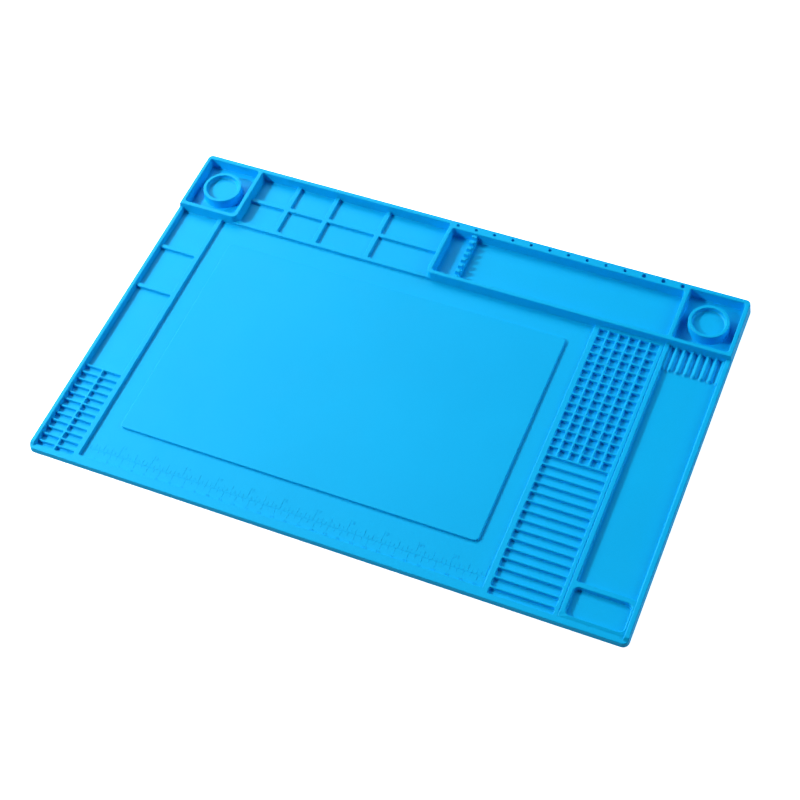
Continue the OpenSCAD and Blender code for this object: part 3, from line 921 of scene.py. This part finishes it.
LINE_W = 0.4
LINE_BEVEL = 0.1
LINE_OVERLAP = 0.15  # marks run this far into the baseline
CM_LONG, CM_STEP = (3, 5), 5  # lengths of the half and whole centimetre marks, and their spacing
INCH_LONG = {1: 3, 2: 4.5, 4: 6.5, 8: 9.5}  # by how many eighths of an inch a mark's place is
INCHES, CENTIMETRES = 12, 30
INCH_NUMBER = (2.4, 6.8, 2.8)  # numbers: right of the mark, behind the baseline, and their size
CM_NUMBER = (0, -8.6, 2.6)
LETTER_FACTOR = 1.35  # font size for a digit of height 1
DIGIT_SINK = 0.02  # how much deeper than the lines the digits start


def scale():
    """Raised lines and generic numbers of the inch and centimetre scale."""
    lo, hi = box("ruler_scale")
    h = LINE_W / 2
    base_y = lo[1] + CM_LONG[1] + h
    inch = (hi[0] - lo[0] - LINE_W) / INCHES
    top = hi[2] - 0.05
    bm = bmesh.new()

    def line(x0, x1, y0, y1):
        stack = []
        for z, d in [(BASE, 0), (top - LINE_BEVEL, 0), (top, LINE_BEVEL)]:
            corners = ((x0 + d, y0 + d), (x1 - d, y0 + d), (x1 - d, y1 - d), (x0 + d, y1 - d))
            stack.append([bm.verts.new((*p, z)) for p in corners])
        skin(bm, stack)
        bm.faces.new(stack[-1])
        bm.faces.new(stack[0][::-1])

    line(lo[0], hi[0], base_y - h, base_y + h)
    for i in range(INCHES * 8 + 1):
        size = max(k for k in INCH_LONG if i % k == 0)
        x = lo[0] + h + inch * i / 8
        line(x - h, x + h, base_y + h - LINE_OVERLAP, base_y + INCH_LONG[size])
    for i in range(CENTIMETRES * 2 + 1):
        x = lo[0] + h + CM_STEP * i
        line(x - h, x + h, base_y - CM_LONG[1 - i % 2], base_y - h + LINE_OVERLAP)
    new_object("scale_lines", bm, ["ruler_scale"], sharp=30)

    digits = bmesh.new()

    def number(text, x, y, size):
        curve = bpy.data.curves.new("number", "FONT")
        curve.body, curve.size, curve.align_x = text, size * LETTER_FACTOR, "CENTER"
        curve.extrude = (top - SHEET) / 2 + DIGIT_SINK
        curve.resolution_u = 3
        obj = bpy.data.objects.new("number", curve)
        mesh = obj.to_mesh()
        shift = Vector((x, y, (top + SHEET) / 2 - DIGIT_SINK))
        before = len(digits.verts)
        digits.from_mesh(mesh)
        digits.verts.ensure_lookup_table()
        for v in digits.verts[before:]:
            v.co += shift
        obj.to_mesh_clear()
        bpy.data.objects.remove(obj)
        bpy.data.curves.remove(curve)

    for count, step, (dx, dy, size) in (
        (INCHES, inch, INCH_NUMBER),
        (CENTIMETRES, 2 * CM_STEP, CM_NUMBER),
    ):
        for i in range(1, count + 1):
            number(str(i), lo[0] + h + step * i + dx, base_y + dy, size)
    new_object("scale_numbers", digits, ["ruler_scale"], sharp=30)


scale()

# ---------------------------------------------------------------- floor, light and camera


def floor_material():
    mat = bpy.data.materials.new("pale_floor")
    mat.use_nodes = True
    nt = mat.node_tree
    bsdf = nt.nodes["Principled BSDF"]
    coords = nt.nodes.new("ShaderNodeTexCoord")
    noise = nt.nodes.new("ShaderNodeTexNoise")
    noise.inputs["Scale"].default_value = 3
    nt.links.new(coords.outputs["Object"], noise.inputs["Vector"])
    ramp = nt.nodes.new("ShaderNodeValToRGB")
    ramp.color_ramp.elements[0].color = (0.9, 0.9, 0.905, 1)
    ramp.color_ramp.elements[1].color = (0.93, 0.93, 0.93, 1)
    nt.links.new(noise.outputs["Fac"], ramp.inputs["Fac"])
    nt.links.new(ramp.outputs["Color"], bsdf.inputs["Base Color"])
    bsdf.inputs["Roughness"].default_value = 0.9
    bsdf.inputs["Specular IOR Level"].default_value = 0.1
    bsdf.inputs["Emission Color"].default_value = (1, 1, 1, 1)
    bsdf.inputs["Emission Strength"].default_value = 0.95
    return mat


FLOOR_SIZE = 6.0  # metres from the middle to each side
FLOOR_GAP = 0.0002  # how far it lies under the mat
BACKDROP = 4  # height of its upturned edges


def floor():
    bm = bmesh.new()
    bmesh.ops.create_grid(bm, x_segments=8, y_segments=8, size=FLOOR_SIZE)
    z = ORIGIN.z - FLOOR_GAP
    # Its far edges turn up as a plain backdrop for low views
    for v in bm.verts:
        far = max(abs(v.co.x), abs(v.co.y)) > FLOOR_SIZE - 0.1
        v.co.z = z + BACKDROP if far else z
    mesh = bpy.data.meshes.new("floor")
    bm.to_mesh(mesh)
    bm.free()
    obj = bpy.data.objects.new("floor", mesh)
    bpy.context.scene.collection.objects.link(obj)
    mesh.materials.append(floor_material())
    # The floor is only what the camera sees: the studio lights the mat's outer edges from below
    obj.visible_diffuse = False
    obj.visible_glossy = False
    obj.visible_shadow = False


floor()


def area(name, at, size, power, colour=(1, 1, 1)):
    """Round lamp aimed at the middle of the mat; place and size in metres, power in watts."""
    light = bpy.data.lights.new(name, "AREA")
    light.shape, light.size, light.energy, light.color = "DISK", size, power, colour
    obj = bpy.data.objects.new(name, light)
    obj.location = at
    obj.rotation_euler = (-Vector(at)).to_track_quat("-Z", "Y").to_euler()
    bpy.context.scene.collection.objects.link(obj)


area("key", (-1.145, -0.45, 0.81), 0.12, 15.6)
area("box_left", (-1.6, 0.4, 1.0), 1.0, 19.5, (1, 1, 0.84))
area("box_rear_left", (-0.9, 1.0, 1.2), 1.0, 10.2)
area("box_right", (1.25, 0.8, 1.0), 1.0, 13.0, (0.4, 0.85, 1))
area("fill_right", (1.4, -0.2, 0.4), 0.8, 1.8)


def studio(room, table):
    """White surroundings: the room above the horizon, and the brighter table below it."""
    world = bpy.data.worlds.new("studio")
    bpy.context.scene.world = world
    world.use_nodes = True
    n, link = world.node_tree.nodes, world.node_tree.links.new
    way = n.new("ShaderNodeTexCoord")
    parts = n.new("ShaderNodeSeparateXYZ")
    below = n.new("ShaderNodeMapRange")
    horizon = 0.05
    limits = {"From Min": -horizon, "From Max": horizon, "To Min": table, "To Max": room}
    for name, value in limits.items():
        below.inputs[name].default_value = value
    link(way.outputs["Generated"], parts.inputs["Vector"])
    link(parts.outputs["Z"], below.inputs["Value"])
    link(below.outputs["Result"], n["Background"].inputs["Strength"])
    n["Background"].inputs["Color"].default_value = (1, 1, 1, 1)


studio(room=0.01, table=0.5)

cam = bpy.data.objects.new("camera", bpy.data.cameras.new("camera"))
bpy.context.scene.collection.objects.link(cam)
cam.location = (0.32599, -0.65549, 0.98677)
cam.rotation_euler = [math.radians(a) for a in (35.7241, 2.9244, 22.2769)]
cam.data.lens = 75.491
cam.data.sensor_width = 36
bpy.context.scene.camera = cam
bpy.context.scene.view_settings.view_transform = "Standard"
